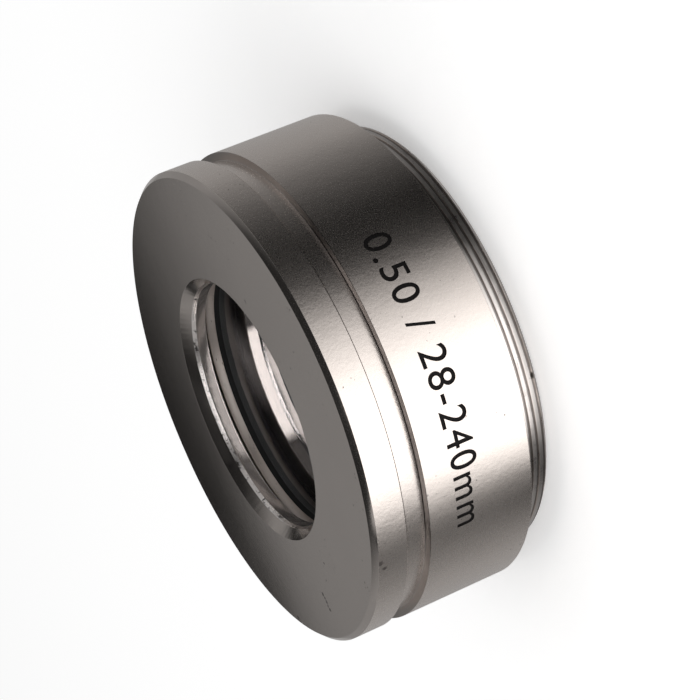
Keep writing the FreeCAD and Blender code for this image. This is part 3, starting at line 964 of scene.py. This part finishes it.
def patch(turn, lift, turn_at, lift_at, inner, outer):
    """Soft round patch on the dome: 1 within the inner angle from its middle, 0 beyond the outer one."""
    lift, lift_at, turned = math.radians(lift), math.radians(lift_at), math.radians(turn - turn_at)
    apart = math.acos(np.clip(
        math.sin(lift) * math.sin(lift_at) + math.cos(lift) * math.cos(lift_at) * math.cos(turned), -1, 1))
    return 1 - smooth(math.degrees(apart), inner, outer)


def studio_tone(turn, lift):
    """Brightness of the studio: turn in degrees from the -Y side towards -X, lift above the floor."""
    behind = smooth(abs(turn), 85, 130)
    near = np.interp(lift, [0, 10, 24, 34, 46, 54, 90], [0.30, 0.34, 0.34, 0.22, 0.06, 0.02, 0.03])
    back = np.interp(lift, [0, 10, 22, 34, 46, 60, 90], [0.25, 0.28, 0.32, 0.22, 0.07, 0.05, 0.06])
    high = 0.5 * patch(turn, lift, 180, 72, 12, 30)
    return near + (back - near) * behind + high + 1.2 * patch(turn, lift, 18, 38, 8, 24)


OVERHEAD_AT = 79.0


def overhead_card():
    """Small card high behind the lens, which the far side of the mouth's chamfer mirrors into the glass."""
    columns, rows = np.linspace(-14, 13, 11), np.linspace(21, 46, 11)
    corners, firsts, laters = [], [], []
    for y in rows:
        for x in columns:
            corners.append((x, y, OVERHEAD_AT))
            turn = math.degrees(math.atan2(-x, -y))
            lift = math.degrees(math.atan2(OVERHEAD_AT - HEIGHT, math.hypot(x, y)))
            firsts.append(float(studio_tone(turn, lift)))
            across = smooth(x, -14, -9) * (1 - smooth(x, 8, 13))
            laters.append(4.4 * float(across * smooth(y, 21, 26) * (1 - smooth(y, 41, 46))))
    return card("overhead_card", corners, grid_faces(len(rows), len(columns)), laters, firsts)


STUDIO = 470.0


def studio_dome():
    """The studio round the lens, as the metal mirrors it."""
    turns = np.arange(-180, 180, 4.0)
    lifts = np.arange(0, 90, 2.0)
    corners = [(0, 0, STUDIO)]
    values = [float(studio_tone(0, 90))]
    for lift in lifts:
        flat, height = STUDIO * math.cos(math.radians(lift)), STUDIO * math.sin(math.radians(lift))
        for turn in turns:
            turned = math.radians(turn)
            corners.append((-flat * math.sin(turned), -flat * math.cos(turned), height))
            values.append(float(studio_tone(turn, lift)))
    wide = len(turns)
    faces = []
    for r in range(len(lifts) - 1):
        for c in range(wide):
            low, high = 1 + r * wide, 1 + (r + 1) * wide
            faces.append((low + c, low + (c + 1) % wide, high + (c + 1) % wide, high + c))
    last = 1 + (len(lifts) - 1) * wide
    faces += [(last + c, last + (c + 1) % wide, 0) for c in range(wide)]
    return card("studio_dome", corners, faces, values)


fan_card("flank_card", FLANK_TONES, BARREL + 0.3, 500.0, 0.05)
fan_card("thread_card", THREAD_TONES, THREAD + 0.1, 14.0, 0.03)
back_card()
studio_dome()
arc_card("mouth_card", (-49, 82), [
    (75, 37, 0.0, 0.0), (75, 39, 0.1, 2.4), (75, 45.6, 0.1, 2.4), (75, 46.8, 0.2, 7.2), (75, 59, 0.2, 7.2),
    (75, 63, 0.08, 0.4), (75, 70, 0.08, 0.4), (75, 73, 0.5, 0.4), (75, 84, 0.5, 0.4), (75, 87, 0.0, 0.0)])
arc_card("lip_card", (-28, 64), [
    (74, 45, 0.3, 7.2), (74, 47, 1.5, 7.2), (74, 58, 1.5, 7.2), (74, 60, 0.3, 7.2)], (0.2, 7.2))
arc_card("rim_card", (-80, 115), [
    (35, 92, 0.0, 0.0), (35, 96, 0.03, 9.0), (35, 126, 0.03, 9.0), (35, 130, 0.0, 0.0)])
arc_card("well_card", (-20, 80), [
    (12, 0.05, 0.0, 0.0), (13.5, 0.05, 1.0, 1.0), (18, 0.05, 1.0, 1.0), (20.6, 0.05, 0.0, 0.0)])
overhead_card()


def softbox(name, place, target, width, height, strength):
    lamp = bpy.data.lights.new(name, "AREA")
    lamp.shape = "RECTANGLE"
    lamp.size, lamp.size_y = width * MM, height * MM
    lamp.energy = strength * math.pi * width * MM * height * MM
    item = bpy.data.objects.new(name, lamp)
    bpy.context.scene.collection.objects.link(item)
    item.location = Vector(place) * MM
    item.rotation_euler = (Vector(target) * MM - item.location).to_track_quat("-Z", "Y").to_euler()
    item.visible_glossy = False
    return item


softbox("key", (-260, -420, 330), (0, 0, 10), 420, 300, 2.2)
softbox("top", (60, 80, 620), (0, 0, 10), 420, 420, 1.0)
softbox("side", (-520, 120, 260), (0, 0, 12), 260, 260, 1.2)

SKY_LIGHT = 0.55


def make_sky():
    """Even sky that lights the object at its level and shows white to the camera, to metal and to glass."""
    world = bpy.data.worlds.new("studio")
    world.use_nodes = True
    bpy.context.scene.world = world
    tree = world.node_tree
    for node in list(tree.nodes):
        tree.nodes.remove(node)
    output = tree.nodes.new("ShaderNodeOutputWorld")
    path = add(tree, "ShaderNodeLightPath")
    seen = maths(tree, "MAXIMUM", path.outputs["Is Camera Ray"], path.outputs["Is Transmission Ray"])
    seen = maths(tree, "MAXIMUM", seen, path.outputs["Is Glossy Ray"])
    level = maths(tree, "ADD", maths(tree, "MULTIPLY", seen, 1.0 - SKY_LIGHT), SKY_LIGHT)
    sky = add(tree, "ShaderNodeBackground", {"Color": (1, 1, 1, 1), "Strength": level})
    tree.links.new(sky.outputs[0], output.inputs["Surface"])


make_sky()


# Camera: fitted to the rims of the lens, so it stands in the lens's own frame

BACKWARD = Vector((0.86251, -0.35782, 0.35782)).normalized()
FACE_CENTRE = Vector((-10.985, 6.362, 287.15))
FOCAL = 2723.98
SENSOR = 36.0


def place_camera():
    """The camera looks along +Z of the measuring frame, with X right and Y down."""
    up = -BACKWARD
    near = (-FACE_CENTRE - up * (-FACE_CENTRE).dot(up)).normalized()
    side = near.cross(BACKWARD)
    rows = Matrix((side, -near, up))
    offset = -(rows @ FACE_CENTRE) + Vector((0, 0, HEIGHT))
    right, down, ahead = (rows @ Vector(axis) for axis in ((1, 0, 0), (0, 1, 0), (0, 0, 1)))
    turn = Matrix((right, -down, -ahead)).transposed().to_4x4()
    camera = bpy.data.cameras.new("camera")
    camera.sensor_width = SENSOR
    camera.lens = FOCAL * SENSOR / 700
    item = bpy.data.objects.new("camera", camera)
    bpy.context.scene.collection.objects.link(item)
    item.matrix_world = Matrix.Translation(offset * MM) @ turn
    camera.clip_start, camera.clip_end = 0.01, 20
    bpy.context.scene.camera = item


place_camera()
bpy.context.scene.view_settings.view_transform = "Standard"
